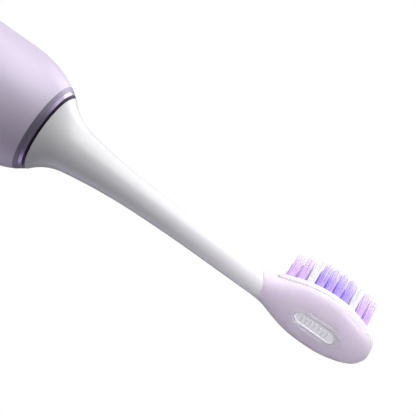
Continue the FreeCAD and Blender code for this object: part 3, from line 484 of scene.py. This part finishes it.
# Profiles in millimetres: (inset from the edge, height over the badge's face), and for the bezel
# (distance outwards from an offset round the badge, height over the paddle's shell)
BADGE_PROFILE = ((0.0, -0.30), (0.0, -0.09), (0.03, -0.03), (0.09, 0.0), (0.24, 0.0), (0.32, -0.16))
FLUTE_PROFILE = ((0.0, -0.16), (0.02, -0.03), (0.07, 0.0))
BEZEL_PROFILE = ((0.0, -0.04), (0.03, 0.01), (0.08, 0.03), (0.13, 0.01), (0.16, -0.04))
BEZEL_OFFSETS = (0.28, 0.66)
RAY_START = 20 * MM  # the y, outside the paddle's back, from which rays look for its shell
FLUTE_COUNT = 7
FLUTE_WIDTH = 0.34 * MM
FLUTE_PITCH = 1.0 * MM
FLUTE_LENGTH = 1.5 * MM
ARC_STEPS = 16
RING_POINTS = 2 * (ARC_STEPS + 1)


def stadium_ring(half_width, half_length, centre, y, upright=True):
    """Points round a stadium that lies at one y, its length along Z, or along X if not upright."""
    points = []
    reach = half_length - half_width
    for end in (1, -1):
        for step in range(ARC_STEPS + 1):
            angle = math.pi * step / ARC_STEPS
            side = half_width * math.cos(angle) * end
            rise = (reach + half_width * math.sin(angle)) * end
            dx, dz = (side, rise) if upright else (rise, -side)
            points.append((centre.x + dx, y, centre.z + dz))
    return points


def stadium_relief(vertices, faces, half_width, half_length, centre, profile, upright=True):
    """A stadium that stands on the badge's face, built from rings along a profile."""
    first = len(vertices)
    for inset, height in profile:
        halves = (half_width - inset * MM, half_length - inset * MM)
        vertices.extend(stadium_ring(*halves, centre, BADGE_HIGH.y + height * MM, upright))
    last = len(vertices) - RING_POINTS
    for low in range(first, last, RING_POINTS):
        quads = ring_quads(low, low + RING_POINTS, RING_POINTS)
        # These rings rise along +Y, so their quads are turned over to face outwards
        faces.extend((a, d, c, b) for a, b, c, d in quads)
    faces.append(tuple(reversed(range(last, last + RING_POINTS))))
    faces.append(tuple(range(first, first + RING_POINTS)))


def make_badge():
    """Badge with a bevelled rim round a sunk field of plain flutes."""
    vertices = []
    faces = []
    stadium_relief(vertices, faces, BADGE_HALF_WIDTH, BADGE_HALF_LENGTH, BADGE_CENTRE, BADGE_PROFILE)
    for place in range(FLUTE_COUNT):
        rise = (place - (FLUTE_COUNT - 1) / 2) * FLUTE_PITCH
        middle = BADGE_CENTRE + Vector((0, 0, rise))
        halves = (FLUTE_WIDTH / 2, FLUTE_LENGTH / 2)
        stadium_relief(vertices, faces, *halves, middle, FLUTE_PROFILE, upright=False)
    badge = piece_from("badge", vertices, faces, "badge_grey", smooth=False)
    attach(badge, "brush_head")
    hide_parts("badge_plate")


def shell_height(tree, x, z):
    """The paddle shell's outer y at a point of its back."""
    return tree.ray_cast(Vector((x, RAY_START, z)), Vector((0, -1, 0)))[0].y


def make_bezel():
    """Low rounded ridges that follow the paddle's back round the badge."""
    mesh = nodes["head_shell"].data
    corners = [vertex.co for vertex in mesh.vertices]
    tree = BVHTree.FromPolygons(corners, [polygon.vertices[:] for polygon in mesh.polygons])
    vertices = []
    faces = []
    for offset in BEZEL_OFFSETS:
        first = len(vertices)
        for outwards, height in BEZEL_PROFILE:
            grown = (offset + outwards) * MM
            ring = stadium_ring(BADGE_HALF_WIDTH + grown, BADGE_HALF_LENGTH + grown, BADGE_CENTRE, 0)
            vertices.extend((x, shell_height(tree, x, z) + height * MM, z) for x, _, z in ring)
        starts = list(range(first, len(vertices), RING_POINTS))
        for low, high in zip(starts, starts[1:] + starts[:1]):
            faces.extend(ring_quads(low, high, RING_POINTS))
    gloss = moulded("bezel_lilac", (0.94, 0.88, 0.97), spread=0.02, rough=(0.2, 0.28), grain=1600.0)
    bezel = piece_from("badge_bezel", vertices, faces, "lilac_translucent", material=gloss)
    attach(bezel, "brush_head")


make_badge()
make_bezel()


# ---------------------------------------------------------------- button membrane


def make_membrane():
    """Soft skin behind the power button, as a copy of the CAD node's mesh fixed to the handle."""
    membrane = link("membrane", nodes["button_membrane"].data.copy())
    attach(membrane, "handle")
    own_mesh(membrane)
    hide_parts("button_membrane")


make_membrane()


# ---------------------------------------------------------------- camera

# Metres, with the lens and its sensor in millimetres. The aim is measured from the collar's foot,
# along the handle as the picture shows it and across it.
AXIS = Vector((0, 0, 1))
VIEW_AZIMUTH = math.radians(145)
VIEW_ELEVATION = math.radians(3.3)
SLANT = math.radians(35.5)
LENS = 86.5
SENSOR_WIDTH = 36
NEAR_CLIP = 0.01
CAMERA_DISTANCE = 0.206
AIM_ALONG = 0.0372
AIM_ACROSS = 0.0063


def camera_axes():
    """Directions out of the picture, along the handle in it and across it towards its upper right."""
    outward = Vector((math.sin(VIEW_AZIMUTH), -math.cos(VIEW_AZIMUTH), 0))
    back = outward * math.cos(VIEW_ELEVATION) + AXIS * math.sin(VIEW_ELEVATION)
    along = (AXIS - back * back.dot(AXIS)).normalized()
    return back, along, back.cross(along)


def place_camera():
    """Camera that sees the brush head and the shoulder, with the handle slanting from upper left."""
    back, along, across = camera_axes()
    right = along * math.cos(SLANT) + across * math.sin(SLANT)
    upward = back.cross(right)
    aim = AXIS * COLLAR_Z + along * AIM_ALONG + across * AIM_ACROSS
    data = bpy.data.cameras.new("camera")
    data.lens = LENS
    data.sensor_width = SENSOR_WIDTH
    data.clip_start = NEAR_CLIP
    camera = link("camera", data)
    rotation = Matrix((right, upward, back)).transposed().to_4x4()
    camera.matrix_world = Matrix.Translation(aim + back * CAMERA_DISTANCE) @ rotation
    bpy.context.scene.camera = camera


# ---------------------------------------------------------------- light and floor

AIM_Z = COLLAR_Z + AIM_ALONG
AMBIENT_STRENGTH = 0.188
FLOOR_RADIUS = 0.34
FLOOR_SIDES = 128
FLOOR_Z = -0.02 * MM


def softbox(name, towards, size, distance, power, colour=(1, 1, 1), height=AIM_Z, spread=180):
    """Square area light that shines from a direction at a point of the axis; spread is in degrees."""
    data = bpy.data.lights.new(name, "AREA")
    data.size = size
    data.energy = power
    data.color = colour
    data.spread = math.radians(spread)
    towards = towards.normalized()
    light = link(name, data)
    light.location = AXIS * height + towards * distance
    light.rotation_euler = towards.to_track_quat("Z", "Y").to_euler()
    light.visible_camera = False


def light_scene():
    """Soft key from the picture's upper right, weaker lights elsewhere and a small one on the paddle."""
    back, along, across = camera_axes()
    softbox("key", across + back * 0.38 - along * 0.1, size=0.55, distance=0.45, power=2.35)
    softbox("rim", across * 0.9 - back * 0.7 + along * 0.3, size=0.3, distance=0.5, power=0.6)
    softbox("fill", -across - back * 0.3, size=0.4, distance=0.5, power=0.36, colour=(0.86, 0.80, 1.0))
    softbox("front", Vector((0.1, -1, 0.35)), size=0.4, distance=0.5, power=0.6)
    softbox(
        "bounce", along * 0.4 + back * 0.85 + across * 0.17, size=0.05, distance=0.1, power=0.0051,
        colour=(0.98, 0.94, 1.0), height=PLATE_Z, spread=30,
    )


def surround_scene():
    """World that is white where it is seen, also through clear parts, and dim where it lights."""
    world = bpy.data.worlds.new("studio")
    world.use_nodes = True
    tree = world.node_tree
    seen = tree.nodes["Background"]
    set_inputs(seen, Color=(1, 1, 1, 1), Strength=1.0)
    ambient = add(tree, "ShaderNodeBackground", Color=(0.95, 0.94, 1.0, 1), Strength=AMBIENT_STRENGTH)
    path = add(tree, "ShaderNodeLightPath")
    direct = add(tree, "ShaderNodeMath", operation="MAXIMUM")
    choose = add(tree, "ShaderNodeMixShader")
    tree.links.new(path.outputs["Is Camera Ray"], direct.inputs[0])
    tree.links.new(path.outputs["Is Transmission Ray"], direct.inputs[1])
    tree.links.new(direct.outputs["Value"], choose.inputs[0])
    tree.links.new(ambient.outputs["Background"], choose.inputs[1])
    tree.links.new(seen.outputs["Background"], choose.inputs[2])
    tree.links.new(choose.outputs["Shader"], tree.nodes["World Output"].inputs["Surface"])
    bpy.context.scene.world = world
    bpy.context.scene.view_settings.view_transform = "Standard"


def lay_floor():
    """Round pale tabletop under the base, with a faint glow that keeps it pale."""
    rim = []
    for step in range(FLOOR_SIDES):
        angle = math.tau * step / FLOOR_SIDES
        rim.append((FLOOR_RADIUS * math.cos(angle), FLOOR_RADIUS * math.sin(angle), FLOOR_Z))
    mesh = bpy.data.meshes.new("floor")
    mesh.from_pydata(rim, [], [list(range(FLOOR_SIDES))])
    finish = moulded(
        "floor_paint", (0.88, 0.88, 0.90), spread=0.01, rough=(0.5, 0.6), grain=400.0,
        Emission_Color=(0.97, 0.96, 1.0, 1), Emission_Strength=0.2,
    )
    mesh.materials.append(finish)
    link("floor", mesh)


place_camera()
light_scene()
surround_scene()
lay_floor()
